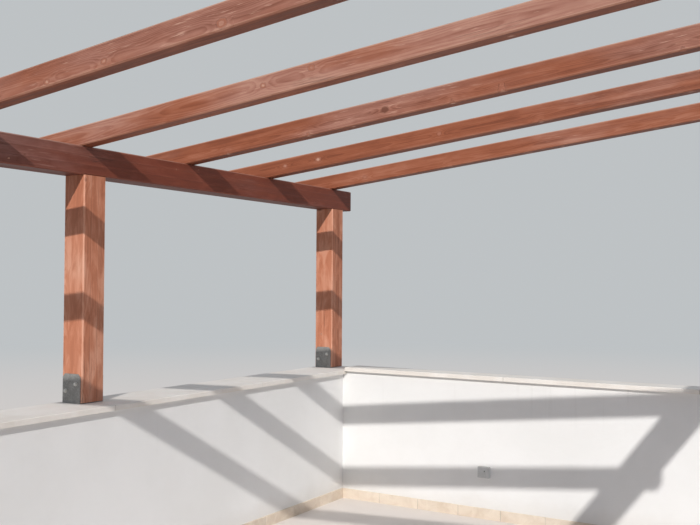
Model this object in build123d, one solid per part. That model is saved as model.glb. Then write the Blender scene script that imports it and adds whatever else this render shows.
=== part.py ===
from build123d import *
import os
from math import cos, radians, tan

# Timber pergola that stands on a terrace parapet, in millimetres.
# +X runs along the rafters, from the low front beam to the high rear beam.
# +Y runs along the beams, towards the parapet's corner.
# The origin is at floor level, half way between the beams and at the middle post.

# Timber sections
post_side = 160
beam_height = 160
rafter_width = 90
rafter_height = 110
arris = 6

# Frame
beam_spacing = 4300
bays = 2
rafters_per_bay = 3
rafter_pitch = 862
rafter_offset = 60
rafter_slope = 6.2
rafter_tail = 200
beam_overhang = 120
front_clear_height = 2280

# Parapet
parapet_height = 1000
front_wall_thickness = 300
side_wall_thickness = 140
plaster_easing = 4
post_edge_margin = 20
post_end_margin = 30
side_wall_setback = 96
rear_post_gap = 20

# Coping slabs, in a row on top of each wall
coping_thickness = 30
coping_overhang = 30
coping_easing = 3
side_coping_rise = 22
drip_width = 8
drip_depth = 6
slab_joint = 4
front_slabs = 4
side_slabs = 3

# Skirting tiles at the foot of the walls
skirting_height = 75
skirting_thickness = 10
skirting_easing = 3

# Weatherproof socket on the side wall
socket_width = 90
socket_height = 80
socket_depth = 24
socket_corner = 6
socket_from_corner = 1195
socket_centre_height = 334
lid_width = 78
lid_height = 68
lid_depth = 32
lid_corner = 5

# Steel shoes that hold the feet of the posts
shoe_thickness = 5
shoe_width = 140
shoe_height = 165
shoe_corner = 18

# Plan of the frame
post_pitch = rafters_per_bay * rafter_pitch
post_rows = [(i - bays / 2) * post_pitch for i in range(bays + 1)]
beam_width = post_side
beam_length = bays * post_pitch + post_side + 2 * beam_overhang
front_x = -beam_spacing / 2
rear_x = beam_spacing / 2

# Heights: the rafters' straight underside leaves each beam's top at its rear edge
slope = tan(radians(rafter_slope))
front_beam_top = front_clear_height + beam_height
rear_beam_top = front_beam_top + slope * beam_spacing
rear_clear_height = rear_beam_top - beam_height

# Plan of the parapet, worked out from the posts that stand on it
wall_height = parapet_height - coping_thickness
side_wall_height = wall_height + side_coping_rise
front_coping_width = front_wall_thickness + 2 * coping_overhang
side_coping_width = side_wall_thickness + 2 * coping_overhang
front_coping_x = front_x - post_side / 2 - post_edge_margin
front_wall_x = front_coping_x + coping_overhang
front_inner_x = front_wall_x + front_wall_thickness
front_coping_start = post_rows[0] - post_side / 2 - post_end_margin
front_coping_end = post_rows[-1] + post_side / 2 + post_end_margin
front_coping_length = front_coping_end - front_coping_start
front_wall_start = front_coping_start + coping_overhang
front_wall_length = front_coping_length - 2 * coping_overhang
side_coping_y = post_rows[-1] - post_side / 2 - side_wall_setback
side_inner_y = side_coping_y + coping_overhang
side_coping_x = front_coping_x + front_coping_width
side_coping_length = rear_x - post_side / 2 - rear_post_gap - side_coping_x
side_wall_length = side_coping_x + side_coping_length - coping_overhang - front_inner_x

LOW = (Align.MIN, Align.MIN, Align.MIN)
CENTRED = (Align.CENTER, Align.CENTER, Align.MIN)


def post(height):
    """A square post with its four long edges eased."""
    bar = Box(post_side, post_side, height, align=CENTRED)
    return chamfer(bar.edges().filter_by(Axis.Z), arris)


def shoe():
    """A bent steel shoe: a base plate and a cheek on the two faces that look along the beam."""
    base = Box(shoe_width, post_side + 2 * shoe_thickness, shoe_thickness, align=CENTRED)
    cheek = Box(shoe_width, shoe_thickness, shoe_height, align=CENTRED)
    cheek = chamfer(cheek.edges().filter_by(Axis.Y).sort_by(Axis.Z)[-2:], shoe_corner)
    offset = (post_side + shoe_thickness) / 2
    return base + Pos(Y=-offset) * cheek + Pos(Y=offset) * cheek


def beam():
    """A beam as wide as the posts, so that its faces are flush with theirs."""
    bar = Box(beam_width, beam_length, beam_height, align=CENTRED)
    return chamfer(bar.edges().filter_by(Axis.Y), arris)


def rafter():
    """A sloped rafter with a level seat cut over each beam and plumb-cut tails."""
    seat_end = front_x + beam_width / 2
    plumb_height = rafter_height / cos(radians(rafter_slope))

    def underside(x):
        return front_beam_top + slope * (x - seat_end)

    low_end = front_x - beam_width / 2 - rafter_tail
    high_end = rear_x + beam_width / 2 + rafter_tail
    outline = [(low_end, underside(low_end))]
    for beam_x, seat in ((front_x, front_beam_top), (rear_x, rear_beam_top)):
        heel = beam_x - beam_width / 2
        toe = beam_x + beam_width / 2
        outline += [(heel, underside(heel)), (heel, seat), (toe, seat)]
    outline.append((high_end, underside(high_end)))
    outline.append((high_end, underside(high_end) + plumb_height))
    outline.append((low_end, underside(low_end) + plumb_height))
    side_view = make_face(Plane.XZ * Polyline(*outline, close=True))
    bar = Pos(Y=rafter_width / 2) * extrude(side_view, rafter_width)
    along = Axis((0, 0, 0), (1, 0, slope))
    return chamfer(bar.edges().filter_by(along), arris)


def wall(size_x, size_y, height, eased_corners):
    """A rendered wall, with some of its upright corners eased, counted from -X to +X."""
    block = Box(size_x, size_y, height, align=LOW)
    corners = block.edges().filter_by(Axis.Z).sort_by(Axis.X)
    return chamfer(corners[eased_corners], plaster_easing)


def coping_slab(width, length):
    """A slab along +Y with eased top edges and a drip groove under each overhang."""
    slab = Box(width, length, coping_thickness, align=LOW)
    top = slab.faces().sort_by(Axis.Z)[-1].edges().filter_by(Axis.Y)
    slab = chamfer(top, coping_easing)
    groove = Box(drip_width, length, drip_depth, align=(Align.CENTER, Align.MIN, Align.MIN))
    slab -= Pos(coping_overhang / 2, 0, 0) * groove
    slab -= Pos(width - coping_overhang / 2, 0, 0) * groove
    return slab


def skirting(length):
    """A strip of tiles along +X with its top front edge eased, standing in front of y = 0."""
    strip = Box(length, skirting_thickness, skirting_height, align=(Align.MIN, Align.MAX, Align.MIN))
    top = strip.faces().sort_by(Axis.Z)[-1].edges().sort_by(Axis.Y)[0]
    return chamfer(top, skirting_easing)


def socket():
    """A surface-mounted socket case with a raised lid, backed on the plane y = 0."""
    case = extrude(Plane.XZ * RectangleRounded(socket_width, socket_height, socket_corner), socket_depth)
    lid = extrude(Plane.XZ * RectangleRounded(lid_width, lid_height, lid_corner), lid_depth)
    return case + lid


parts = {}

# Each post stands on the base plate of its shoe; the front row is on the parapet.
for row, x, foot, clear_height in (
    ("front", front_x, parapet_height, front_clear_height),
    ("rear", rear_x, 0, rear_clear_height),
):
    for i, y in enumerate(post_rows):
        parts[f"{row}_shoe_{i + 1}"] = Pos(x, y, foot) * shoe()
        timber = post(clear_height - foot - shoe_thickness)
        parts[f"{row}_post_{i + 1}"] = Pos(x, y, foot + shoe_thickness) * timber

parts["front_beam"] = Pos(front_x, 0, front_clear_height) * beam()
parts["rear_beam"] = Pos(rear_x, 0, rear_clear_height) * beam()

for i in range(bays * rafters_per_bay + 1):
    parts[f"rafter_{i + 1}"] = Pos(Y=post_rows[0] + i * rafter_pitch - rafter_offset) * rafter()

front_wall = wall(front_wall_thickness, front_wall_length, wall_height, slice(0, 4))
parts["front_parapet"] = Pos(front_wall_x, front_wall_start, 0) * front_wall

# The side coping stands a little higher, so its wall steps down to pass under the front coping.
side_wall = wall(side_wall_length, side_wall_thickness, side_wall_height, slice(2, 4))
step = Box(coping_overhang + slab_joint, side_wall_thickness, side_coping_rise, align=LOW)
side_wall -= Pos(0, 0, wall_height) * step
parts["side_parapet"] = Pos(front_inner_x, side_inner_y, 0) * side_wall

front_slab = (front_coping_length - (front_slabs - 1) * slab_joint) / front_slabs
for i in range(front_slabs):
    y = front_coping_start + i * (front_slab + slab_joint)
    slab = coping_slab(front_coping_width, front_slab)
    parts[f"front_coping_{i + 1}"] = Pos(front_coping_x, y, wall_height) * slab

side_slab = (side_coping_length - side_slabs * slab_joint) / side_slabs
for i in range(side_slabs):
    x = side_coping_x + slab_joint + i * (side_slab + slab_joint)
    slab = Rot(Z=-90) * coping_slab(side_coping_width, side_slab)
    parts[f"side_coping_{i + 1}"] = Pos(x, side_coping_y + side_coping_width, side_wall_height) * slab

front_strip = Rot(Z=90) * skirting(side_inner_y - front_wall_start)
parts["front_skirting"] = Pos(front_inner_x, front_wall_start, 0) * front_strip
side_strip = skirting(side_wall_length - skirting_thickness)
parts["side_skirting"] = Pos(front_inner_x + skirting_thickness, side_inner_y, 0) * side_strip

parts["wall_socket"] = Pos(front_inner_x + socket_from_corner, side_inner_y, socket_centre_height) * socket()

os.makedirs("parts", exist_ok=True)
for name, shape in parts.items():
    export_step(shape, f"parts/{name}.step")
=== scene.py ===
# %% [markdown]
# # A timber pergola on a terrace parapet
#
# The real object is a red-brown stained frame of square posts, square beams and
# sloped rafters. Its low side stands on a white rendered parapet with a pale stone
# coping. This lesson loads the exact frame, gives every surface its finish with
# procedural materials, and models the small pieces that the frame leaves out.
#
# Everything is in metres. X runs along the rafters from the low front beam to the
# high rear beam, Y runs along the beams, and Z is up.

# %% Load the frame
import math

import bmesh
import bpy
from mathutils import Matrix, Vector


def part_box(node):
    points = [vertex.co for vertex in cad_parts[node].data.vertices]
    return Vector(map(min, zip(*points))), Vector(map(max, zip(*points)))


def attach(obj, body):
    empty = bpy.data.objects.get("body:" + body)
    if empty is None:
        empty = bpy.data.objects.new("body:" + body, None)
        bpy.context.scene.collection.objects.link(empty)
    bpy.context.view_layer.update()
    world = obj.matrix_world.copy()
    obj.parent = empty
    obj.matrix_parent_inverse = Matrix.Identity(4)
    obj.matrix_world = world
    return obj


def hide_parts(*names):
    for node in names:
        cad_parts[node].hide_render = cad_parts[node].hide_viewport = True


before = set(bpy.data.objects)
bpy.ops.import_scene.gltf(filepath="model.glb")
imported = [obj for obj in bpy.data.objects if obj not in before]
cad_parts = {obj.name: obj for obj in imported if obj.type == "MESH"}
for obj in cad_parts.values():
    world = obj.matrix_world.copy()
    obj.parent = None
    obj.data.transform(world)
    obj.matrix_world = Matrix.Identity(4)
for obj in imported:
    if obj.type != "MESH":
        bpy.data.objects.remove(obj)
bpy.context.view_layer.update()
bpy.ops.object.select_all(action="DESELECT")
print("nodes:", len(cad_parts))

# %% [markdown]
# ## Sizes taken from the frame
#
# The finishes follow each bar: the grain runs along it, and the growth rings turn
# round its own centre. So the first thing to read from the frame is where the bars
# are. Measuring them, and not typing them in again, keeps the finish on the bar
# when a size of the frame changes.

# %% Read where the bars and walls are
def corners(node):
    """The lowest and the highest corner of a node's box."""
    low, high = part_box(node)
    return Vector(low), Vector(high)


def middle(node):
    """The centre of a node's box."""
    low, high = corners(node)
    return (low + high) / 2


def size(node):
    """The lengths of a node's box."""
    low, high = corners(node)
    return high - low


post_side = size("front_post_1").x
beam_height = size("front_beam").z
rafter_width = size("rafter_1").y
beam_offset = middle("rear_beam").x
front_beam_height = middle("front_beam").z
rear_beam_height = middle("rear_beam").z
post_pitch = middle("front_post_2").y - middle("front_post_1").y
rafter_pitch = middle("rafter_2").y - middle("rafter_1").y
rafter_shift = middle("rafter_4").y
rafter_slope = (rear_beam_height - front_beam_height) / (2 * beam_offset)
rafter_angle = math.atan(rafter_slope)
rafter_rise = size("rafter_1").x * rafter_slope
rafter_depth = (size("rafter_1").z - rafter_rise) * math.cos(rafter_angle)
rafter_mid_height = middle("rafter_1").z
coping_top = corners("front_coping_1")[1].z
print("rafter slope in degrees:", round(math.degrees(rafter_angle), 2))
print("rafter depth:", round(rafter_depth, 3), "post pitch:", round(post_pitch, 3))

# %% [markdown]
# ## Camera
#
# The straight edges of the posts, beam and parapet fix the camera: it stands under
# the rafters at eye height, looks along the front wall to the parapet's corner and
# tips up by little more than a degree. Its lens is given in the units of a sensor
# 36 mm wide.

# %% Place the camera
camera_place = Vector((1.775, -3.549, 1.680))
camera_turn = math.radians(31.28)
camera_tip = math.radians(1.34)
camera_roll = math.radians(0.32)
sensor_width = 36
lens_length = 45.8

camera_data = bpy.data.cameras.new("camera")
camera_data.sensor_width = sensor_width
camera_data.lens = lens_length
camera = bpy.data.objects.new("camera", camera_data)
bpy.context.scene.collection.objects.link(camera)
turned = Matrix.Rotation(camera_turn, 4, "Z") @ Matrix.Rotation(math.pi / 2 + camera_tip, 4, "X")
camera.matrix_world = Matrix.Translation(camera_place) @ turned @ Matrix.Rotation(camera_roll, 4, "Z")
bpy.context.scene.camera = camera
print("camera height:", camera_place.z)

# %% [markdown]
# ## Short words for shader nodes
#
# A finish is a chain of small sums, and each sum is a node. Here a node's output is
# wrapped as a signal, and a sum written on signals, such as `along * 2 + bar`, adds
# the nodes that work it out. A signal knows which tree of nodes it belongs to, so a
# new node goes where its inputs come from.

# %% Helpers for shader nodes
class Signal:
    """A node's output, on which sums are written as on a number."""

    def __init__(self, node, output=0):
        self.socket = node.outputs[output]
        self.tree = node.id_data

    def __add__(self, other):
        return calc("ADD", self, other)

    def __sub__(self, other):
        return calc("SUBTRACT", self, other)

    def __rsub__(self, other):
        return calc("SUBTRACT", other, self)

    def __mul__(self, other):
        return calc("MULTIPLY", self, other)

    def __truediv__(self, other):
        return calc("DIVIDE", self, other)

    def __abs__(self):
        return calc("ABSOLUTE", self)

    __radd__ = __add__


def set_inputs(node, inputs):
    """Sets a node's inputs, by name or number: a signal is linked, a plain value is written."""
    for key, value in inputs.items():
        socket = node.inputs[key]
        if isinstance(value, Signal):
            value.tree.links.new(value.socket, socket)
        else:
            socket.default_value = value


def add_node(kind, inputs, tree=None, **settings):
    """A new node with its settings made and its inputs set, by name or in their order."""
    if not isinstance(inputs, dict):
        inputs = dict(enumerate(inputs))
    if tree is None:
        tree = next(value.tree for value in inputs.values() if isinstance(value, Signal))
    node = tree.nodes.new(kind)
    for name, value in settings.items():
        setattr(node, name, value)
    set_inputs(node, inputs)
    return node


def calc(operation, *values):
    """One sum on one or two signals or numbers."""
    return Signal(add_node("ShaderNodeMath", values, operation=operation))


def spread(value, low, high, new_low=0.0, new_high=1.0, shape="SMOOTHSTEP"):
    """A value's range from low to high, stretched to the new range and held there."""
    limits = (value, low, high, new_low, new_high)
    return Signal(add_node("ShaderNodeMapRange", limits, interpolation_type=shape))


def length(place):
    """The distance of a place from zero."""
    return Signal(add_node("ShaderNodeVectorMath", [place], operation="LENGTH"), "Value")


def mix_shaders(factor, first, second):
    """Two shaders mixed by a factor."""
    return Signal(add_node("ShaderNodeMixShader", (factor, first, second)))


# %% [markdown]
# ## Light
#
# The key light falls from behind the camera, about thirty degrees above the floor,
# and each rafter throws a slanted shadow on the posts and the parapet. It is as
# wide as the sun, so a shadow edge is softer the further it falls. A wide lamp
# from above and a pale sky fill the rest. The backdrop is only what camera rays
# and mirrored rays see, so it adds no light to the timber.

# %% Key light, fill light and sky
key_direction = Vector((-0.749, 1.625, -0.985))
key_strength = 2.64
key_spread = math.radians(0.53)
key_colour = (1.0, 0.97, 0.935)
fill_direction = Vector((-0.15, 0.05, -1.0))
fill_strength = 0.60
fill_spread = math.radians(80)
fill_colour = (1.0, 0.98, 0.96)
sky_colour = (0.80, 0.93, 1.12, 1)
sky_strength = 0.27
backdrop = (0.515, 0.54, 0.555, 1)


def add_sun(name, direction, strength, spread_angle, colour):
    """A distant light that shines in a direction."""
    data = bpy.data.lights.new(name, "SUN")
    data.energy = strength
    data.angle = spread_angle
    data.color = colour
    lamp = bpy.data.objects.new(name, data)
    lamp.rotation_euler = direction.to_track_quat("-Z", "Y").to_euler()
    bpy.context.scene.collection.objects.link(lamp)


def seen_directly(tree):
    """1 for rays from the camera or from a mirrored surface, and 0 for rays that carry light."""
    paths = tree.nodes.new("ShaderNodeLightPath")
    return calc("MAXIMUM", Signal(paths, "Is Camera Ray"), Signal(paths, "Is Glossy Ray"))


add_sun("key_light", key_direction, key_strength, key_spread, key_colour)
add_sun("fill_light", fill_direction, fill_strength, fill_spread, fill_colour)
bpy.context.scene.view_settings.view_transform = "Standard"

world = bpy.data.worlds.new("sky")
world.use_nodes = True
bpy.context.scene.world = world
tree = world.node_tree
tree.nodes.clear()
sky = add_node("ShaderNodeBackground", {"Color": sky_colour, "Strength": sky_strength}, tree)
seen_sky = add_node("ShaderNodeBackground", {"Color": backdrop, "Strength": 1.0}, tree)
sky_mix = mix_shaders(seen_directly(tree), Signal(sky), Signal(seen_sky))
add_node("ShaderNodeOutputWorld", {"Surface": sky_mix})
print("key light strength:", key_strength)

# %% [markdown]
# ## Floor
#
# The floor is a plain pale plane that fades into the backdrop with distance. Light
# bounces off it onto the walls and the undersides of the bars. Further out it
# returns less light than it shows, so that the shaded sides of the timber stay deep.

# %% Lay the floor
floor_colour = (0.78, 0.725, 0.68, 1)
outer_colour = (0.27, 0.27, 0.26, 1)
floor_reach = 60
outer_edge = (3.2, 7.0)
fade_edge = (5.0, 22.0)

bpy.ops.mesh.primitive_plane_add(size=2 * floor_reach)
floor = bpy.context.object
floor.name = "floor"
floor_paint = bpy.data.materials.new("floor_paint")
floor_paint.use_nodes = True
tree = floor_paint.node_tree
tree.nodes.clear()
distance = length(Signal(tree.nodes.new("ShaderNodeTexCoord"), "Object"))
seen = seen_directly(tree)
pale = calc("MAXIMUM", spread(distance, *reversed(outer_edge)), seen)
faded = spread(distance, *fade_edge) * seen
near_floor = Signal(add_node("ShaderNodeBsdfDiffuse", {"Color": floor_colour}, tree))
outer_floor = Signal(add_node("ShaderNodeBsdfDiffuse", {"Color": outer_colour}, tree))
far_floor = Signal(add_node("ShaderNodeEmission", {"Color": backdrop, "Strength": 1.0}, tree))
surface = mix_shaders(faded, mix_shaders(pale, outer_floor, near_floor), far_floor)
add_node("ShaderNodeOutputMaterial", {"Surface": surface})
floor.data.materials.append(floor_paint)
print("floor reaches:", floor_reach)

# %% [markdown]
# ## Patterns and node groups
#
# No natural material has an even colour, and here all its changes come from noise
# and from chance. An effect that several materials share is a node group: it has
# named inputs and outputs, is built once, and is placed in each material with
# values of its own.

# %% Helpers for patterns and groups
def stretch(value, new_low, new_high):
    """A value from 0 to 1, stretched evenly to a new range."""
    return value * (new_high - new_low) + new_low


def mix_value(base, value, amount):
    """The base plus an amount of another value, measured from its middle."""
    return base + (value - 0.5) * amount


def vector(x, y, z):
    """Three signals or numbers as one vector."""
    return Signal(add_node("ShaderNodeCombineXYZ", (x, y, z)))


def split_vector(place):
    """A vector's three numbers."""
    node = add_node("ShaderNodeSeparateXYZ", [place])
    return [Signal(node, axis) for axis in "XYZ"]


def split_colour(colour):
    """A colour's three numbers."""
    node = add_node("ShaderNodeSeparateColor", [colour])
    return [Signal(node, part) for part in ("Red", "Green", "Blue")]


def noise(place, scale, detail=3.0, roughness=0.5, distortion=0.0, output="Fac"):
    """Soft cloudy noise from about 0.3 to 0.7, at a place."""
    values = {
        "Vector": place, "Scale": scale, "Detail": detail, "Roughness": roughness, "Distortion": distortion,
    }
    return Signal(add_node("ShaderNodeTexNoise", values), output)


def chance(number, output="Value"):
    """A random value or colour that belongs to a number."""
    return Signal(add_node("ShaderNodeTexWhiteNoise", {"W": number}, noise_dimensions="1D"), output)


def new_group(name, inputs):
    """An empty node group, and its inputs as signals: a place is a vector, the rest are numbers."""
    group = bpy.data.node_groups.new(name, "ShaderNodeTree")
    for label in inputs:
        kind = "NodeSocketVector" if label == "Place" else "NodeSocketFloat"
        group.interface.new_socket(name=label, in_out="INPUT", socket_type=kind)
    start = group.nodes.new("NodeGroupInput")
    return group, [Signal(start, label) for label in inputs]


def end_group(group, **outputs):
    """Gives a group its outputs, each a number with a name."""
    for name in outputs:
        label = name.replace("_", " ")
        group.interface.new_socket(name=label, in_out="OUTPUT", socket_type="NodeSocketFloat")
    add_node("NodeGroupOutput", list(outputs.values()))
    return group


# %% [markdown]
# ## The figure of planed softwood
#
# A sawn bar is a piece cut out of a trunk. Its growth rings are long tubes round
# the pith, which seldom lies in the middle of the bar, and they wander a little
# along the length. Where they meet a face they draw the stripes and arches that
# people call figure. A flat stripe pattern would not turn the corner at an arris,
# so the rings are worked out in space, from the distance to a pith line, and the
# end of the bar shows the same rings as arcs without more work.
#
# Knots are where branches grew out of the pith. Each one is a line that leaves the
# pith at its own height and direction, so it shows as an oval on the faces that it
# pierces. The rings bulge round it.

# %% The timber figure group
ring_width = 0.0052
knot_spacing = 0.30
pith_wander = 0.06


def make_timber_figure():
    """Rings, streaks, fibres and knots in a bar's own coordinates."""
    inputs = ("Along", "Across", "Depth", "Bar", "Pith Reach", "Knot Size")
    group, (along, across, depth, bar, pith_reach, knot_size) = new_group("timber_figure", inputs)

    # The pith line wanders slowly along the bar.
    share_across, share_depth, _ = split_colour(chance(bar, "Color"))
    pith_across = stretch(share_across, -1.0, 1.0) * pith_reach
    pith_depth = stretch(share_depth, -1.3, 0.7) * pith_reach
    shifted = along + bar * 7.31
    wander = noise(vector(shifted * 0.9, bar, 0.0), 1.0, 2.0, output="Color")
    wander_across, wander_depth, _ = split_colour(wander)
    from_pith_across = mix_value(across - pith_across, wander_across, pith_wander)
    from_pith_depth = mix_value(depth - pith_depth, wander_depth, pith_wander)

    # Each knot is a branch: a line out of the pith with its own height, turn and thickness.
    steps = {"W": shifted / knot_spacing, "Scale": 1.0}
    whorl = add_node("ShaderNodeTexVoronoi", steps, voronoi_dimensions="1D")
    knot_turn, knot_width, knot_lean = split_colour(Signal(whorl, "Color"))
    to_knot = Signal(whorl, "Distance") * (knot_spacing * 0.72)
    turn = calc("FLOOR", knot_turn * 4.0) * (math.pi / 2) + stretch(knot_lean, -0.4, 0.4)
    cosine = calc("COSINE", turn)
    sine = calc("SINE", turn)
    outward = from_pith_across * cosine + from_pith_depth * sine
    aside = from_pith_across * sine - from_pith_depth * cosine
    ragged = noise(vector(shifted, across, depth), 62.0, 3.0, 0.6)
    from_knot = mix_value(length(vector(to_knot, aside, 0.0)), ragged, 0.014)
    knot_radius = stretch(knot_width, 0.5, 1.0) * knot_size
    ahead = spread(outward, 0.0, 0.01)
    inside = from_knot - knot_radius
    knots = spread(inside, 0.0012, -0.0025) * ahead
    dead_knots = calc("GREATER_THAN", calc("FRACT", knot_width * 13.7), 0.86) * knots
    knot_rings = (calc("COSINE", from_knot * 2300.0) * 0.5 + 0.5) * knots
    core = spread(from_knot * 1.8 - knot_radius, 0.003, -0.006) * ahead
    core = core * calc("FRACT", knot_turn * 11.3)
    rim = spread(abs(inside - 0.0012), 0.0026, 0.0) * ahead
    halo = spread(inside, 0.022, 0.0) * ahead
    bulge = spread(inside, 0.055, 0.0) * ahead

    # Rings lie at even steps from the pith, with a soft ripple and the bulge round each knot.
    ripple = noise(vector(shifted * 1.6, across * 9.0, depth * 9.0), 1.0, 2.0)
    radius = length(vector(from_pith_across, from_pith_depth, 0.0)) + ripple * 0.010 + bulge * 0.007
    ring = calc("FRACT", radius / ring_width)
    rings = spread(ring, 0.15, 0.85) * spread(ring, 1.0, 0.86)

    streaks = noise(vector(shifted * 0.9, across * 30.0, depth * 30.0), 1.0, 4.0, 0.6, 0.25)
    fibres = noise(vector(shifted * 7.0, across * 360.0, depth * 360.0), 1.0, 3.0, 0.6)
    figure = {"Rings": rings, "Streaks": streaks, "Fibres": fibres, "Knots": knots, "Dead_Knots": dead_knots}
    return end_group(group, Knot_Rings=knot_rings, Knot_Core=core, Knot_Edge=rim, Knot_Halo=halo, **figure)


timber_figure = make_timber_figure()
print("timber figure nodes:", len(timber_figure.nodes))

# %% [markdown]
# ## Glued boards, eased corners and drying cracks
#
# The posts and beams are not one baulk: each is glued up from three boards, and a
# fine line and a change of tone show where two of them meet. The planed corners
# are eased, and the stain is thin there, so they read as pale stripes. Fine cracks
# open along the grain where the timber dries, and on a cut end they run out from
# the pith.

# %% Groups for boards, corners and cracks
boards_per_bar = 3
corner_reach = 0.010


def make_glued_boards():
    """Which board a point is in, its tone, and the glue line between two boards."""
    group, (depth, full_depth, bar) = new_group("glued_boards", ("Depth", "Full Depth", "Bar"))
    step = full_depth / boards_per_bar
    place = depth / step + boards_per_bar / 2
    board = calc("MAXIMUM", calc("MINIMUM", calc("FLOOR", place), boards_per_bar - 1), 0.0)
    tone = Signal(add_node("ShaderNodeTexWhiteNoise", {"Vector": vector(board, bar, 0.5)}), "Value")
    past_line = (place - calc("ROUND", place)) * step
    inner = calc("LESS_THAN", abs(depth), full_depth * 0.42)
    line = spread(abs(past_line), 0.0009, 0.0002) * inner
    pale_edge = spread(abs(past_line - 0.005), 0.0055, 0.002) * inner
    return end_group(group, Board=board, Tone=tone, Line=line, Pale_Edge=pale_edge)


def make_eased_corner():
    """How near a point on a bar's surface is to one of its long corners."""
    inputs = ("Across", "Depth", "Full Width", "Full Depth")
    group, (across, depth, full_width, full_depth) = new_group("eased_corner", inputs)
    aside = full_width * 0.5 - abs(across)
    below = full_depth * 0.5 - abs(depth)
    corner = spread(calc("MAXIMUM", aside, below), corner_reach, corner_reach / 2)
    return end_group(group, Corner=corner)


def make_drying_cracks():
    """Long thin cracks along the grain, in a few patches."""
    group, (along, across, depth, bar) = new_group("drying_cracks", ("Along", "Across", "Depth", "Bar"))
    shifted = along + bar * 3.7
    level = noise(vector(shifted * 0.45, across * 64.0, depth * 64.0), 1.0, 2.0)
    thin = spread(abs(level - 0.5), 0.009, 0.002)
    patch = noise(vector(shifted * 0.9, across * 3.0, depth * 3.0), 2.6, 1.0)
    return end_group(group, Cracks=thin * spread(patch, 0.63, 0.69))


glued_boards = make_glued_boards()
eased_corner = make_eased_corner()
drying_cracks = make_drying_cracks()
print("boards in a post:", boards_per_bar)

# %% [markdown]
# ## Settled dust
#
# Dust lies on what faces up. One group works it out from the direction of the
# surface, and the timber, stone and plastic each use it with their own strength.

# %% The settled dust group
def upwardness(tree, normal):
    """How far a surface faces up, from -1 to 1. 'Normal' is smoothed over edges, 'True Normal' isn't."""
    return split_vector(Signal(tree.nodes.new("ShaderNodeNewGeometry"), normal))[2]


def make_settled_dust():
    """A patchy mask on surfaces that face up."""
    group, (place, amount) = new_group("settled_dust", ("Place", "Amount"))
    upward = spread(upwardness(group, "Normal"), 0.25, 0.95)
    patches = spread(noise(place, 7.0, 5.0, 0.65), 0.35, 0.65, 0.35, 1.0)
    return end_group(group, Dust=upward * patches * amount)


settled_dust = make_settled_dust()
print("groups so far:", [group.name for group in bpy.data.node_groups])

# %% [markdown]
# ## Where a point lies in its own bar
#
# Each kind of bar runs another way, so each material first turns the place of a
# point into four numbers: how far along the bar, how far across it, how deep in
# it, and which bar it is. Posts and rafters stand in even rows, so rounding a
# place to the nearest row finds the bar. Both rows of posts, and both beams, are
# told apart by the sign of X.

# %% Coordinates for posts, beams and rafters
def nearest_row(value, pitch, shift=0.0):
    """The number of the nearest row, and the distance from it."""
    moved = value - shift
    row = calc("ROUND", moved / pitch)
    return row, moved - row * pitch


def post_place(x, y, z):
    """Along, across, depth and bar number in the posts."""
    row, depth = nearest_row(y, post_pitch)
    return z, abs(x) - beam_offset, depth, calc("SIGN", x) * 4.0 + (row + 10.0)


def beam_place(x, y, z):
    """Along, across, depth and bar number in the beams."""
    side = calc("SIGN", x)
    half_rise = (rear_beam_height - front_beam_height) / 2
    centre = side * half_rise + (rear_beam_height + front_beam_height) / 2
    return y, abs(x) - beam_offset, z - centre, side + 30.0


def rafter_place(x, y, z):
    """Along, across, depth and bar number in the sloped rafters."""
    row, across = nearest_row(y, rafter_pitch, rafter_shift)
    raised = z - rafter_mid_height
    cosine = math.cos(rafter_angle)
    sine = math.sin(rafter_angle)
    return x * cosine + raised * sine, across, raised * cosine - x * sine, row + 50.0


# %% [markdown]
# ## Stained timber
#
# The stain is a thin red-brown film: it soaks into the soft early wood and lies
# on the hard late rings, so the figure shows through as a change of tone. Three
# tones are mixed by the streaks and rings. The sun bleaches them in slow patches,
# and a painted sky reflection pales them further towards the rear and away from
# the parapet's corner. Undersides keep the deep stain and are also painted darker,
# as painted shade. Knots take little stain and stay pale, with a dark rim. Cut ends
# soak up more, go dark and show star cracks. The posts are a lighter tone than the
# beams and rafters, so each kind of bar has its own material, made by one function.

# %% Helpers for materials
def new_material(name):
    """A material with nodes, and the place of a point in the object's frame."""
    material = bpy.data.materials.new(name)
    material.use_nodes = True
    return material, Signal(material.node_tree.nodes.new("ShaderNodeTexCoord"), "Object")


def blend_colours(factor, first, second):
    """Two colours mixed by a factor. The node's colour sockets come after those for numbers."""
    return Signal(add_node("ShaderNodeMix", {0: factor, 6: first, 7: second}, data_type="RGBA"), 2)


def use_group(group, **inputs):
    """A group placed where its inputs come from. Its outputs are read by name."""
    named = {name.replace("_", " "): value for name, value in inputs.items()}
    node = add_node("ShaderNodeGroup", named, node_tree=group)
    return {socket.name: Signal(node, socket.name) for socket in node.outputs}


def finished(material, colour, roughness, height, bump_distance, **others):
    """The material, with what was worked out for it tied to its Principled shader."""
    bump = add_node("ShaderNodeBump", {"Height": height, "Distance": bump_distance, "Strength": 1.0})
    inputs = {"Base Color": colour, "Roughness": roughness, "Normal": Signal(bump)}
    inputs.update({name.replace("_", " "): value for name, value in others.items()})
    set_inputs(material.node_tree.nodes["Principled BSDF"], inputs)
    return material


# %% Cut ends, bleaching with a painted sky reflection, and knots
def end_grain(tree, direction):
    """1 on the cut ends of a bar that runs in this direction."""
    normal = Signal(tree.nodes.new("ShaderNodeNewGeometry"), "True Normal")
    dot = add_node("ShaderNodeVectorMath", (normal, direction), operation="DOT_PRODUCT")
    return spread(abs(Signal(dot, "Value")), 0.8, 0.95)


def star_cracks(across, depth, bar):
    """Cracks on a cut end that run out from near its middle."""
    turn = calc("ARCTAN2", depth + 0.013, across + 0.006)
    place = vector(turn * 2.2, length(vector(across, depth, 0.0)) * 9.0, bar)
    return spread(abs(noise(place, 1.6, 1.0) - 0.5), 0.018, 0.004)


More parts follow.
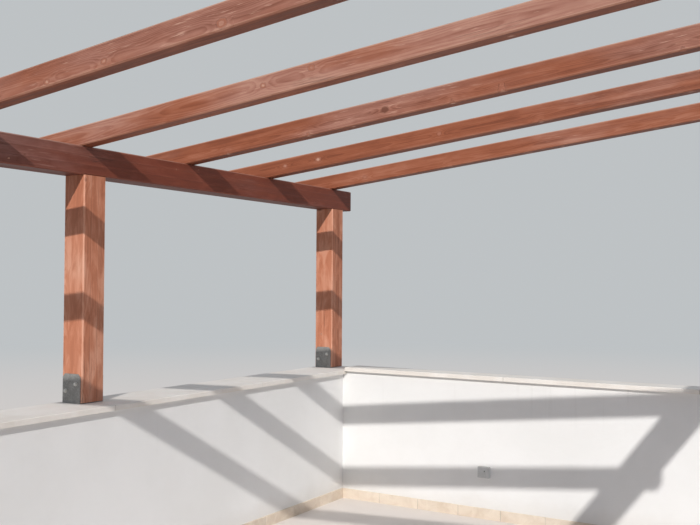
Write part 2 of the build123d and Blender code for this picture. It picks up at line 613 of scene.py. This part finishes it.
def bleaching_and_sky_sheen(x, y, along, depth, bar, most):
    """How far the sun has bleached the stain in slow patches, with a painted sky reflection added, from none
    up to the most.
    """
    patches = noise(vector(along * 0.9, bar * 3.1, depth * 4.0), 1.0, 4.0, 0.55)
    # The painted sky reflection grows towards the rear and away from the parapet's corner.
    return spread(patches + x * 0.05 - y * 0.06, 0.32, 0.58, 0.0, most)


def stain_knots(colour, figure):
    """The colour with pale ringed knots in it, some of them dead and dark."""
    knot_colour = blend_colours(figure["Knot Rings"], (0.42, 0.165, 0.100, 1), (0.30, 0.100, 0.058, 1))
    knot_colour = blend_colours(figure["Knot Core"], knot_colour, (0.66, 0.42, 0.32, 1))
    knot_colour = blend_colours(figure["Dead Knots"], knot_colour, (0.13, 0.042, 0.024, 1))
    return blend_colours(figure["Knots"] * 0.8, colour, knot_colour)


# %% The function for the timber's materials
def stained_timber(name, bar_place, direction, section, tones, contrasts, glued, pith_reach, knot_size):
    """A stained softwood material for bars that run in one direction."""
    dark, mid, pale, faded, worn = tones
    contrast, ring_contrast, blotch_contrast, fading_and_sky_sheen = contrasts
    width, full_depth = section
    material, place = new_material(name)
    x, y, z = split_vector(place)
    along, across, depth, bar = bar_place(x, y, z)
    if glued:
        boards = use_group(glued_boards, Depth=depth, Full_Depth=full_depth, Bar=bar)
        board = boards["Board"] * 17.3 + bar
        tone, line, pale_edge = boards["Tone"], boards["Line"], boards["Pale Edge"]
    else:
        board, tone, line, pale_edge = bar, chance(bar), 0.0, 0.0
    shared = {"Along": along, "Across": across, "Depth": depth, "Bar": board}
    figure = use_group(timber_figure, Pith_Reach=pith_reach, Knot_Size=knot_size, **shared)
    cracks = use_group(drying_cracks, **shared)["Cracks"]
    corner = use_group(eased_corner, Across=across, Depth=depth, Full_Width=width, Full_Depth=full_depth)
    dust = use_group(settled_dust, Place=place, Amount=0.45)["Dust"]
    ends = end_grain(place.tree, direction)
    stars = star_cracks(across, depth, bar) * ends
    # Undersides get no bleaching, and the same mask also paints shade on them.
    underside_unbleached_and_shaded = spread(upwardness(place.tree, "True Normal"), -0.5, -0.9)

    # Level 0 is the dark tone, 0.5 the middle one, and 1 the pale one.
    level = mix_value(0.5, spread(figure["Streaks"], 0.30, 0.70), 0.85 * contrast)
    level = mix_value(level, tone, 0.30)
    level = mix_value(level, figure["Rings"], -ring_contrast)
    level = mix_value(level, figure["Fibres"], 0.55 * contrast)
    slow = noise(vector(along * 1.3, across, depth + board), 1.7, 3.0)
    level = mix_value(level, slow, 0.6 * contrast)
    blotches = noise(vector(along * 5.0, across * 19.0, depth * 19.0 + board), 1.0, 4.0, 0.6, 0.6)
    level = mix_value(level, spread(blotches, 0.36, 0.68), blotch_contrast)
    level = level + pale_edge * 0.13 + corner["Corner"] * 0.40
    # The last term pushes undersides towards the dark tone: painted shade.
    level = level + figure["Knot Halo"] * 0.12 - underside_unbleached_and_shaded * 0.35

    # Where the stain is bleached, short flecks of it have also worn off. This mask also carries the painted
    # sky reflection, and it stays off the undersides.
    fade = bleaching_and_sky_sheen(x, y, along, depth, bar, fading_and_sky_sheen) * (1.0 - underside_unbleached_and_shaded)
    flecks = noise(vector(along * 8.0, across * 130.0, depth * 130.0 + board), 1.0, 3.0, 0.6)
    flecks = spread(flecks, 0.60, 0.70) * fade
    lower_half = spread(level, 0.0, 0.5, shape="LINEAR")
    upper_half = spread(level, 0.5, 1.0, shape="LINEAR")
    colour = blend_colours(lower_half, dark, blend_colours(fade, mid, faded))
    colour = blend_colours(upper_half, colour, blend_colours(fade, pale, worn))
    colour = stain_knots(blend_colours(flecks, colour, worn), figure)

    # Knot rims, cracks, glue lines and cut ends are darker, and dust is paler.
    shade = figure["Knot Edge"] * 0.35
    for mask, strength in ((cracks, 0.5), (line, 0.4), (ends, 0.5), (stars, 0.95)):
        shade = calc("MAXIMUM", shade, mask * strength)
    red, green, blue, _ = dark
    colour = blend_colours(shade, colour, (red * 0.3, green * 0.3, blue * 0.3, 1))
    colour = blend_colours(dust, colour, (0.40, 0.27, 0.20, 1))

    rough = spread(figure["Streaks"], 0.3, 0.7, 0.50, 0.64) + dust * 0.5
    relief = figure["Rings"] * 0.25 + figure["Fibres"] * 0.35 + figure["Knots"] * 0.4
    relief = relief - cracks * 2.5 - stars * 4.0 - line * 0.8
    return finished(material, colour, rough, relief, 0.0006, Specular_IOR_Level=0.35)


# %% Materials for the timber
# The tones: dark, middle, pale, the middle one bleached, and bare worn timber.
rafter_tones = (
    (0.155, 0.040, 0.018, 1), (0.320, 0.098, 0.046, 1), (0.480, 0.205, 0.130, 1),
    (0.385, 0.175, 0.128, 1), (0.560, 0.320, 0.240, 1),
)
beam_tones = (
    (0.125, 0.030, 0.016, 1), (0.214, 0.054, 0.030, 1), (0.300, 0.100, 0.060, 1),
    (0.245, 0.112, 0.092, 1), (0.360, 0.195, 0.160, 1),
)
post_tones = (
    (0.310, 0.103, 0.051, 1), (0.550, 0.206, 0.114, 1), (0.740, 0.370, 0.250, 1),
    (0.620, 0.320, 0.215, 1), (0.840, 0.560, 0.430, 1),
)

# The contrasts: of the streaks, the rings, the blotches, and the bleaching with its painted sky reflection.
rafter_contrasts = (0.40, 0.19, 0.16, 0.95)
beam_contrasts = (0.28, 0.07, 0.22, 0.90)
post_contrasts = (0.20, 0.15, 0.40, 0.60)

rafter_direction = (math.cos(rafter_angle), 0.0, math.sin(rafter_angle))
post_timber = stained_timber(
    "post_timber", post_place, (0, 0, 1), (post_side, post_side), post_tones, post_contrasts,
    glued=True, pith_reach=0.09, knot_size=0.010,
)
beam_timber = stained_timber(
    "beam_timber", beam_place, (0, 1, 0), (post_side, beam_height), beam_tones, beam_contrasts,
    glued=True, pith_reach=0.09, knot_size=0.008,
)
rafter_timber = stained_timber(
    "rafter_timber", rafter_place, rafter_direction, (rafter_width, rafter_depth), rafter_tones,
    rafter_contrasts, glued=False, pith_reach=0.035, knot_size=0.019,
)


def dress(material, *starts):
    """Gives a material to every CAD node whose name starts with one of these words."""
    for name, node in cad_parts.items():
        if name.startswith(starts):
            node.data.materials.clear()
            node.data.materials.append(material)


dress(post_timber, "front_post", "rear_post")
dress(beam_timber, "front_beam", "rear_beam")
dress(rafter_timber, "rafter")
print("timber materials:", post_timber.name, beam_timber.name, rafter_timber.name)

# %% [markdown]
# ## White render
#
# The walls are floated render with white masonry paint. Close up it is a fine
# sandy skin with faint float marks. Rain leaves thin grey runs under the coping
# and a dusty band just above the floor.

# %% The render's material
def white_render():
    """Painted sand render with float marks, rain runs and a dusty foot."""
    material, place = new_material("white_render")
    x, y, z = split_vector(place)
    clouds = spread(noise(place, 1.3, 5.0, 0.6), 0.35, 0.68)
    floated = noise(vector(x, y, z * 1.8), 14.0, 4.0, 0.55, 0.6)
    sand = noise(place, 420.0, 2.0)
    runs = spread(noise(vector(x * 26.0, y * 26.0, z * 1.1), 1.0, 3.0, 0.6), 0.58, 0.78)
    runs = runs * spread(z, coping_top - 0.42, coping_top - 0.03) * 0.12
    foot = spread(z - noise(place, 5.0) * 0.16, 0.14, -0.02) * 0.22
    colour = blend_colours(clouds, (0.83, 0.83, 0.82, 1), (0.87, 0.87, 0.865, 1))
    colour = blend_colours(runs, colour, (0.42, 0.41, 0.38, 1))
    colour = blend_colours(foot, colour, (0.55, 0.49, 0.42, 1))
    relief = floated * 0.9 + sand * 0.5
    return finished(material, colour, 0.9, relief, 0.0012, Specular_IOR_Level=0.3)


dress(white_render(), "front_parapet", "side_parapet")
print("render on two walls")

# %% [markdown]
# ## Stone coping
#
# The coping is a pale warm limestone: a fine grain with small darker shell
# specks, slow clouds of colour, and grime that gathers in patches. Sand and fine
# grit show in its bump, so the sun picks out the texture at a low angle.

# %% The coping's material
def pale_limestone():
    """Honed limestone with specks, clouds and grime."""
    material, place = new_material("pale_limestone")
    clouds = spread(noise(place, 3.2, 5.0, 0.65, 0.4), 0.33, 0.68)
    cells = add_node("ShaderNodeTexVoronoi", {"Vector": place, "Scale": 95.0})
    chosen = calc("GREATER_THAN", split_colour(Signal(cells, "Color"))[0], 0.55)
    specks = spread(Signal(cells, "Distance"), 0.22, 0.08) * chosen
    grime = spread(noise(place, 2.3, 6.0, 0.7), 0.54, 0.76)
    dust = use_group(settled_dust, Place=place, Amount=0.25)["Dust"]
    colour = blend_colours(clouds, (0.80, 0.75, 0.69, 1), (0.88, 0.845, 0.80, 1))
    colour = blend_colours(specks * 0.28, colour, (0.42, 0.37, 0.31, 1))
    colour = blend_colours(grime * 0.16, colour, (0.45, 0.43, 0.38, 1))
    colour = blend_colours(dust, colour, (0.84, 0.79, 0.72, 1))
    relief = noise(place, 260.0, 3.0, 0.6) - specks * 0.8
    return finished(material, colour, 0.68, relief, 0.0004, Specular_IOR_Level=0.35)


dress(pale_limestone(), "front_coping", "side_coping")
print("limestone on", sum("coping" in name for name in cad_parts), "slabs")

# %% [markdown]
# ## Working in edit mode from a script
#
# The small pieces are shaped as by hand: add a block, choose some faces or edges,
# bevel, inset or extrude them. With no mouse, faces and edges are chosen by where
# they are or which way they face, so a few helpers do that.

# %% Helpers for modelling
smooth_below = math.radians(35)


def start_piece(name):
    """Names the active object, puts its place in its mesh and opens edit mode."""
    piece = bpy.context.object
    piece.name = name
    piece.data.name = name
    bpy.ops.object.transform_apply(location=True, rotation=True, scale=True)
    bpy.ops.object.mode_set(mode="EDIT")
    return piece


def add_block(name, low, high):
    """A block between two corners, with its place in its mesh, open in edit mode."""
    low, high = Vector(low), Vector(high)
    bpy.ops.object.select_all(action="DESELECT")
    bpy.ops.mesh.primitive_cube_add(size=1, location=(low + high) / 2, scale=high - low)
    return start_piece(name)


def add_rod(name, radius, place, depth, turn, sides):
    """A rod with its place and turn in its mesh, open in edit mode."""
    bpy.ops.object.select_all(action="DESELECT")
    bpy.ops.mesh.primitive_cylinder_add(
        vertices=sides, radius=radius, depth=depth, location=place, rotation=turn
    )
    return start_piece(name)


def near(first, second):
    """Whether two places along an axis are the same, to a hundredth of a millimetre."""
    return abs(first - second) < 1e-5


def same_way(cosine):
    """Whether two directions are the same, from the cosine between them."""
    return cosine > 0.99


def choose(kind, test):
    """Selects only the faces or edges for which a test of middle and direction holds."""
    bpy.ops.mesh.select_mode(type=kind)
    bpy.ops.mesh.select_all(action="DESELECT")
    mesh = bmesh.from_edit_mesh(bpy.context.edit_object.data)
    if kind == "FACE":
        for face in mesh.faces:
            face.select_set(test(face.calc_center_median(), face.normal))
    else:
        for edge in mesh.edges:
            start, end = (vert.co for vert in edge.verts)
            edge.select_set(test((start + end) / 2, (end - start).normalized()))
    bmesh.update_edit_mesh(bpy.context.edit_object.data)


def bevel_chosen(offset, segments):
    """Rounds the selected edges."""
    bpy.ops.mesh.bevel(offset=offset, segments=segments, affect="EDGES")


def raise_chosen(offset):
    """Extrudes the selected faces by an offset."""
    bpy.ops.mesh.extrude_region_move(TRANSFORM_OT_translate={"value": offset})


def step_faces(border, offset, test):
    """Leaves a border round the faces for which a test holds, and extrudes what is inside it."""
    choose("FACE", test)
    bpy.ops.mesh.inset(thickness=border, depth=0)
    raise_chosen(offset)


def face_outwards():
    """Points every face of the piece in edit mode outwards, and closes edit mode."""
    bpy.ops.mesh.select_all(action="SELECT")
    bpy.ops.mesh.normals_make_consistent(inside=False)
    bpy.ops.object.mode_set(mode="OBJECT")


def join_parts(name, parts):
    """One piece made of several parts, open in edit mode."""
    bpy.ops.object.select_all(action="DESELECT")
    for part in parts:
        part.select_set(True)
    bpy.context.view_layer.objects.active = parts[0]
    bpy.ops.object.join()
    return start_piece(name)


def finish_piece(piece, material, replaced=()):
    """Closes edit mode, gives the piece its finish, and ties it to the frame."""
    face_outwards()
    bpy.ops.object.shade_smooth_by_angle(angle=smooth_below)
    piece.data.materials.clear()
    piece.data.materials.append(material)
    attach(piece, "root")
    if replaced:
        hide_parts(*replaced)
    return piece


# %% [markdown]
# ## Skirting tiles
#
# Beige ceramic tiles run round the foot of the walls, each about a third of a
# metre long, with a narrow cement joint. One tile is modelled with its top front
# edge rounded, as the factory presses it, and an array lays the row. The joints
# are a strip of grout set a little behind the tiles' faces.

# %% Finishes for tile, grout and mortar
tiles_per_metre = 3.0


def beige_tile():
    """Matt beige ceramic: each tile a shade of its own, fine specks and a soft cloud."""
    material, place = new_material("beige_tile")
    x, y, z = split_vector(place)
    tone = chance(calc("FLOOR", (x + y) * tiles_per_metre))
    clouds = spread(noise(place, 9.0, 4.0, 0.6, 0.8), 0.35, 0.66)
    specks = spread(noise(place, 310.0, 2.0), 0.62, 0.72)
    scuffs = spread(noise(vector(x, y, z * 4.0), 26.0, 5.0, 0.7), 0.58, 0.75)
    colour = blend_colours(clouds, (0.66, 0.55, 0.44, 1), (0.75, 0.65, 0.54, 1))
    colour = blend_colours(stretch(tone, 0.0, 0.25), colour, (0.80, 0.72, 0.62, 1))
    colour = blend_colours(specks * 0.3, colour, (0.42, 0.33, 0.25, 1))
    colour = blend_colours(scuffs * 0.2, colour, (0.40, 0.36, 0.31, 1))
    rough = spread(clouds, 0.0, 1.0, 0.38, 0.52)
    return finished(material, colour, rough, clouds - scuffs * 0.5, 0.0005)


def cement(name, pale, dark, scale):
    """Sandy cement for grout and mortar joints."""
    material, place = new_material(name)
    sand = noise(place, scale, 3.0, 0.65)
    clouds = spread(noise(place, 11.0, 4.0), 0.35, 0.65)
    colour = blend_colours(clouds, dark, pale)
    colour = blend_colours(spread(sand, 0.55, 0.75, 0.0, 0.4), colour, dark)
    return finished(material, colour, 0.93, sand, 0.0012)


tile_finish = beige_tile()
grout_finish = cement("skirting_grout", (0.56, 0.51, 0.45, 1), (0.38, 0.34, 0.29, 1), 500.0)
mortar_finish = cement("coping_mortar", (0.62, 0.60, 0.55, 1), (0.40, 0.38, 0.34, 1), 380.0)

# %% Lay the skirting
tile_length = 0.333
tile_joint = 0.003
tile_round = 0.004
tile_easing = 0.0012
grout_setback = 0.0015
grout_end_gap = 0.0005
grout_drop = 0.0012
grout_round = 0.0025


def tile_row(node, along_axis, face_axis, face_sign):
    """A row of tiles that fills the box of one skirting node."""
    low, high = corners(node)
    run = high[along_axis] - low[along_axis]
    count = round(run / tile_length)
    step = (run + tile_joint) / count
    face_place = high[face_axis] if face_sign > 0 else low[face_axis]
    tile_high = high.copy()
    tile_high[along_axis] = low[along_axis] + step - tile_joint
    tile = add_block(node + "_tiles", low, tile_high)
    choose("EDGE", lambda centre, way: near(centre[face_axis], face_place) and near(centre.z, high.z))
    bevel_chosen(tile_round, 4)
    choose("EDGE", lambda centre, way: near(centre[face_axis], face_place) and same_way(abs(way.z)))
    bevel_chosen(tile_easing, 2)
    bpy.ops.object.mode_set(mode="OBJECT")
    row = tile.modifiers.new("row", "ARRAY")
    row.use_relative_offset = False
    row.use_constant_offset = True
    row.constant_offset_displace = [step if axis == along_axis else 0 for axis in range(3)]
    row.count = count
    bpy.ops.object.modifier_apply(modifier=row.name)
    bpy.ops.object.mode_set(mode="EDIT")
    finish_piece(tile, tile_finish, [node])
    print(node, "tiles:", count, "each", round(step - tile_joint, 4))


def grout_strip(node, along_axis, face_axis, face_sign):
    """The grout of one row of tiles, a little behind their faces."""
    low, high = corners(node)
    front = high if face_sign > 0 else low
    front[face_axis] -= face_sign * grout_setback
    low[along_axis] += grout_end_gap
    high[along_axis] -= grout_end_gap
    high.z -= grout_drop
    grout = add_block(node + "_grout", low, high)
    choose("EDGE", lambda centre, way: near(centre.z, high.z) and same_way(abs(way[along_axis])))
    bevel_chosen(grout_round, 2)
    finish_piece(grout, grout_finish, [node])


for row in (("front_skirting", 1, 0, 1), ("side_skirting", 0, 1, -1)):
    tile_row(*row)
    grout_strip(*row)

# %% [markdown]
# ## Mortar between the coping slabs
#
# The slabs stand a few millimetres apart. The gap is pointed with mortar, tooled
# to a shallow hollow a little below the stone so that rain runs off the joint. A
# block fills the gap, a cut down its middle gives a line of points on top, and
# that line is pushed down.

# %% Point the joints
mortar_setback = 0.0015
mortar_drop = 0.0012
mortar_hollow = 0.0012
corner_bed = 0.002
corner_drop = 0.004


def pointed_joint(name, low, high, along_axis):
    """Mortar in one gap, hollow on top; along_axis is the direction of the wall."""
    joint = add_block(name, low, high)
    joint_middle = (low + high) / 2
    cut_direction = [1 if axis == along_axis else 0 for axis in range(3)]
    bpy.ops.mesh.select_all(action="SELECT")
    bpy.ops.mesh.bisect(plane_co=joint_middle, plane_no=cut_direction)
    line = joint_middle[along_axis]
    choose("EDGE", lambda centre, way: near(centre.z, high.z) and near(centre[along_axis], line))
    bpy.ops.transform.translate(value=(0, 0, -mortar_hollow))
    finish_piece(joint, mortar_finish)


def point_gaps(row, along_axis, first):
    """Mortar in the gaps between the neighbouring slabs of one row, numbered from first."""
    slabs = [corners(name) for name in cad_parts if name.startswith(row)]
    slabs.sort(key=lambda slab: slab[0][along_axis])
    setback = Vector((mortar_setback, mortar_setback, 0))
    setback[along_axis] = 0
    for number, (before, after) in enumerate(zip(slabs, slabs[1:]), start=first):
        low, high = after[0] + setback, before[1] - setback
        low[along_axis], high[along_axis] = before[1][along_axis], after[0][along_axis]
        high.z -= mortar_drop
        pointed_joint(f"{row}_joint_{number}", low, high, along_axis)


point_gaps("front_coping", 1, 1)
point_gaps("side_coping", 0, 2)

# The first joint of the side wall is at the corner, where the two copings differ in height.
corner_low, corner_high = corners("side_coping_1")
front_low, front_high = corners("front_coping_4")
pointed_joint(
    "side_coping_joint_1",
    Vector((front_high.x, corner_low.y + mortar_setback, front_low.z + corner_bed)),
    Vector((corner_low.x, corner_high.y - mortar_setback, corner_high.z - corner_drop)),
    0,
)

# %% [markdown]
# ## Screws in the rafters
#
# One long timber screw goes down through each rafter into each beam. Only its wide
# head shows on the rafter's top. The head is a short rod with a domed edge and a
# star-shaped socket for the driver; it is modelled once, upright, then each copy is
# tilted with the rafter and set down at its crossing.

# %% Finish for the screws
def zinc_steel():
    """Zinc-plated steel: pale metal with patchy dulling."""
    material, place = new_material("zinc_steel")
    patches = spread(noise(place, 700.0, 3.0, 0.6), 0.35, 0.65)
    colour = blend_colours(patches, (0.56, 0.56, 0.54, 1), (0.70, 0.69, 0.66, 1))
    rough = spread(patches, 0.0, 1.0, 0.55, 0.34)
    return finished(material, colour, rough, patches, 0.0001, Metallic=0.7)


zinc_finish = zinc_steel()

# %% Model one head and set the copies
head_radius = 0.009
head_height = 0.0035
head_bed = 0.001
head_round = 0.0014
driver_radius = 0.0036
driver_depth = 0.0016
star_points = 6
star_pull = 0.16


def screw_head():
    """One screw head at the origin, bedded a little below zero."""
    top = head_height - head_bed
    place = (0, 0, head_height / 2 - head_bed)
    head = add_rod("rafter_screw", head_radius, place, head_height, (0, 0, 0), 24)
    choose("EDGE", lambda centre, way: near(centre.z, top))
    bevel_chosen(head_round, 3)
    choose("FACE", lambda centre, way: same_way(way.z) and near(centre.z, top))
    bpy.ops.mesh.inset(thickness=head_radius - head_round - driver_radius, depth=0)
    choose("FACE", lambda centre, way: same_way(way.z) and near(centre.z, top) and centre.xy.length < 1e-4)
    mesh = bmesh.from_edit_mesh(head.data)
    for vert in (vert for vert in mesh.verts if vert.select):
        turn = math.atan2(vert.co.y, vert.co.x)
        pull = 1 - star_pull * (1 - math.cos(star_points * turn))
        vert.co.x *= pull
        vert.co.y *= pull
    raise_chosen((0, 0, -driver_depth))
    face_outwards()
    return head


pattern = screw_head()
tilt = Matrix.Rotation(-rafter_angle, 4, "Y")
lift = rafter_depth / math.cos(rafter_angle) / 2
rafters = sorted(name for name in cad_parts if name.startswith("rafter"))
heads = []
for rafter in rafters:
    for crossing_x in (-beam_offset, beam_offset):
        height = rafter_mid_height + crossing_x * rafter_slope + lift
        head = pattern.copy()
        head.data = pattern.data.copy()
        head.data.transform(Matrix.Translation((crossing_x, middle(rafter).y, height)) @ tilt)
        bpy.context.scene.collection.objects.link(head)
        heads.append(head)
bpy.data.objects.remove(pattern)
screws = finish_piece(join_parts("rafter_screws", heads), zinc_finish)
print("screws:", len(heads), "faces:", len(screws.data.polygons))

# %% [markdown]
# ## Steel shoes and their bolts
#
# A bent steel plate holds the foot of each post, clear of the wet stone. The steel
# was dipped in molten zinc, which freezes in flat crystals a few millimetres wide
# and dulls to grey outdoors. Two bolts go through the cheeks and the timber, one
# higher than the other so that they don't split it along one line of grain. Each
# has a washer and a hexagonal head in front, and a washer and a nut behind.

# %% Finish for the shoes
def dipped_zinc():
    """Weathered zinc coating: crystals, dull clouds and faint runs."""
    material, place = new_material("dipped_zinc")
    x, y, z = split_vector(place)
    warp = vector(noise(place, 60.0, 2.0) * 0.01, 0.0, 0.0)
    warped = Signal(add_node("ShaderNodeVectorMath", (place, warp), operation="ADD"))
    cells = add_node("ShaderNodeTexVoronoi", {"Vector": warped, "Scale": 170.0})
    crystal = split_colour(Signal(cells, "Color"))[0]
    clouds = spread(noise(place, 26.0, 5.0, 0.65), 0.34, 0.68)
    runs = spread(noise(vector(x * 70.0, y * 70.0, z * 5.0), 1.0, 3.0), 0.54, 0.70)
    level = mix_value(clouds * 0.6 + 0.2, crystal, 0.7)
    colour = blend_colours(level, (0.25, 0.245, 0.235, 1), (0.34, 0.335, 0.32, 1))
    colour = blend_colours(runs * 0.28, colour, (0.48, 0.47, 0.45, 1))
    rough = spread(level, 0.0, 1.0, 0.66, 0.50)
    return finished(material, colour, rough, mix_value(clouds, crystal, 0.5), 0.00012, Metallic=0.25)


dress(dipped_zinc(), "front_shoe", "rear_shoe")
shoes = sorted(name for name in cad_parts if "_shoe_" in name)
print("shoes:", len(shoes))

# %% Model the bolts
# A place is a distance beside the shoe's middle and a height above its base. An outline is
# a radius, a number of sides and the rounding of the rim.
bolt_places = ((0.036, 0.110), (-0.044, 0.068))
washer_outline = (0.012, 32, 0.0004)
hexagon_outline = (0.0104, 6, 0.0009)
thread_outline = (0.0058, 24, 0.0008)
washer_height = 0.0025
washer_bed = 0.0002
hexagon_bed = 0.0005
hexagon_start = washer_height - hexagon_bed
head_depth = 0.0075
nut_depth = 0.0060
thread_past_nut = 0.0022
thread_depth = nut_depth + thread_past_nut


def turned_part(name, place, side, start, depth, outline):
    """A rod that stands on a cheek, from a distance before it on, with its outer rim rounded."""
    radius, sides, rounding = outline
    centre_y = place[1] + side * (start + depth / 2)
    part = add_rod(name, radius, (place[0], centre_y, place[2]), depth, (math.pi / 2, 0, 0), sides)
    rim = centre_y + side * depth / 2
    choose("EDGE", lambda centre, way: near(centre.y, rim))
    bevel_chosen(rounding, 2)
    bpy.ops.object.mode_set(mode="OBJECT")
    return part


def bolt_set(shoe):
    """Both bolts of one shoe, as one piece: heads on the -Y cheek and nuts on the +Y cheek."""
    low, high = corners(shoe)
    made = []
    for number, (aside, height) in enumerate(bolt_places, start=1):
        for side, y, depth in ((-1, low.y, head_depth), (1, high.y, nut_depth)):
            at = (f"{shoe}_bolt_{number}", (middle(shoe).x + aside, y, low.z + height), side)
            made.append(turned_part(*at, -washer_bed, washer_height, washer_outline))
            made.append(turned_part(*at, hexagon_start, depth, hexagon_outline))
            if side > 0:
                made.append(turned_part(*at, hexagon_start, thread_depth, thread_outline))
    finish_piece(join_parts(shoe + "_bolts", made), zinc_finish)


for shoe in shoes:
    bolt_set(shoe)
print("shoes with bolts:", len(shoes))

# %% [markdown]
# ## Weatherproof socket
#
# A pale grey surface box is screwed to the side wall near the corner. It is a deep
# case with rounded corners and a lid that hangs on a hinge along its top and keeps
# rain off the outlet, with a small dark catch on its face. The frame has one solid
# for all of it, so these pieces stand for that solid and stay inside its box.

# %% Finishes for the socket
def moulded_plastic(name, pale, dark):
    """Moulded plastic with a fine spark-eroded skin, faded in patches."""
    material, place = new_material(name)
    fade = spread(noise(place, 24.0, 4.0, 0.6), 0.35, 0.65)
    dust = use_group(settled_dust, Place=place, Amount=0.5)["Dust"]
    colour = blend_colours(fade, dark, pale)
    colour = blend_colours(dust, colour, (0.55, 0.50, 0.44, 1))
    rough = spread(fade, 0.0, 1.0, 0.42, 0.52)
    return finished(material, colour, rough, noise(place, 1500.0, 2.0), 0.00015)


grey_plastic = moulded_plastic("grey_plastic", (0.65, 0.66, 0.66, 1), (0.56, 0.57, 0.57, 1))
dark_plastic = moulded_plastic("dark_plastic", (0.11, 0.115, 0.12, 1), (0.07, 0.075, 0.08, 1))

# %% Measure the socket's solid
# Distances are counted from the wall. An outline is a width, a height and a corner radius.
fine_rounding = 0.0006
socket_low, socket_high = corners("wall_socket")
socket_centre = middle("wall_socket")
socket_width, socket_depth, socket_height = size("wall_socket")
wall_y = socket_high.y
socket_pieces = []


def rounded_plate(name, outline, back, front, rounding):
    """A plate between two distances from the wall, with its corners and front edge rounded."""
    width, height, corner = outline
    low = (socket_centre.x - width / 2, wall_y - front, socket_centre.z - height / 2)
    high = (socket_centre.x + width / 2, wall_y - back, socket_centre.z + height / 2)
    plate = add_block(name, low, high)
    choose("EDGE", lambda centre, way: same_way(abs(way.y)))
    bevel_chosen(corner, 6)
    choose("EDGE", lambda centre, way: near(centre.y, wall_y - front))
    bevel_chosen(rounding, 3)
    return plate


def socket_piece(piece, finish=grey_plastic):
    """Finishes one piece that stands for the socket's solid."""
    socket_pieces.append(finish_piece(piece, finish, ["wall_socket"]))


print("socket depth:", round(socket_depth, 4))

# %% Model the case
# The case is in two halves with a fine gap, which a lip on the front half closes.
case_depth = 0.024
back_depth = 0.0155
case_gap = 0.0008
lip_border = 0.0022
lip_depth = 0.0012
front_rounding = 0.0016
case_outline = (socket_width, socket_height, 0.006)

socket_piece(rounded_plate("socket_case", case_outline, 0.0, back_depth, fine_rounding))

front_start = back_depth + case_gap
front_half = rounded_plate("socket_front", case_outline, front_start, case_depth, front_rounding)
step_faces(lip_border, (0, lip_depth, 0), lambda centre, way: same_way(way.y))
socket_piece(front_half)
print("case depth:", case_depth)

# %% Model the lid and its raised panel
# Each is bedded a little in the piece behind it.
lid_border = 0.006
lid_bed = 0.0006
lid_face = socket_depth - 0.0014
lid_rim = 0.0016
lid_hollow = 0.0008
lid_rounding = 0.0018
panel_border = 0.008
panel_bed = 0.0016
panel_face = socket_depth - 0.0012
lid_width = socket_width - 2 * lid_border
lid_height = socket_height - 2 * lid_border
lid_outline = (lid_width, lid_height, 0.005)
panel_outline = (lid_width - 2 * panel_border, lid_height - 2 * panel_border, 0.004)

lid = rounded_plate("socket_lid", lid_outline, case_depth - lid_bed, lid_face, lid_rounding)
step_faces(lid_rim, (0, lid_hollow, 0), lambda centre, way: same_way(-way.y))
socket_piece(lid)

panel = rounded_plate("socket_panel", panel_outline, lid_face - panel_bed, panel_face, fine_rounding)
socket_piece(panel)
print("lid:", round(lid_width, 4), "by", round(lid_height, 4))

# %% Model the grip and the hinge
grip_reach = 0.016
grip_height = 0.0034
grip_bed = 0.0010
grip_rounding = 0.0011
grip_front = wall_y - socket_depth + 0.0003
grip_base = socket_low.z + lid_border + 0.0014
hinge_radius = 0.0024
hinge_length = 0.015
hinge_offset = 0.024
hinge_axis = 0.0022

grip_low = (socket_centre.x - grip_reach, grip_front, grip_base)
grip_high = (socket_centre.x + grip_reach, wall_y - lid_face + grip_bed, grip_base + grip_height)
grip = add_block("socket_grip", grip_low, grip_high)
choose("EDGE", lambda centre, way: near(centre.y, grip_front))
bevel_chosen(grip_rounding, 3)
socket_piece(grip)

lying = (0, math.pi / 2, 0)
for number, side in enumerate((-1, 1), start=1):
    barrel_x = socket_centre.x + side * hinge_offset
    barrel_place = (barrel_x, wall_y - case_depth - hinge_axis, socket_high.z - lid_border / 2)
    barrel = add_rod(f"socket_hinge_{number}", hinge_radius, barrel_place, hinge_length, lying, 20)
    choose("EDGE", lambda centre, way: near(abs(centre.x - barrel_x), hinge_length / 2))
    bevel_chosen(fine_rounding, 2)
    socket_piece(barrel)
print("hinge barrels:", number)

# %% Model the catch
# A slot for a coin is cut across its face: two cuts, and what lies between them is sunk.
catch_radius = 0.0046
catch_height = 0.0020
catch_aside = 0.011
catch_raise = 0.010
catch_set_in = 0.0012
catch_rounding = 0.0005
coin_slot = 0.0012
coin_slot_depth = 0.0008

catch_x = socket_centre.x + catch_aside
catch_y = wall_y - socket_depth + catch_set_in
catch_place = (catch_x, catch_y, socket_centre.z + catch_raise)
catch = add_rod("socket_catch", catch_radius, catch_place, catch_height, (math.pi / 2, 0, 0), 28)
choose("EDGE", lambda centre, way: near(centre.y, catch_y - catch_height / 2))
bevel_chosen(catch_rounding, 2)
for side in (-1, 1):
    bpy.ops.mesh.select_all(action="SELECT")
    bpy.ops.mesh.bisect(plane_co=(catch_x + side * coin_slot / 2, 0, 0), plane_no=(1, 0, 0))
choose("FACE", lambda centre, way: same_way(-way.y) and abs(centre.x - catch_x) < coin_slot / 3)
raise_chosen((0, coin_slot_depth, 0))
socket_piece(catch, dark_plastic)
print("socket pieces:", len(socket_pieces))
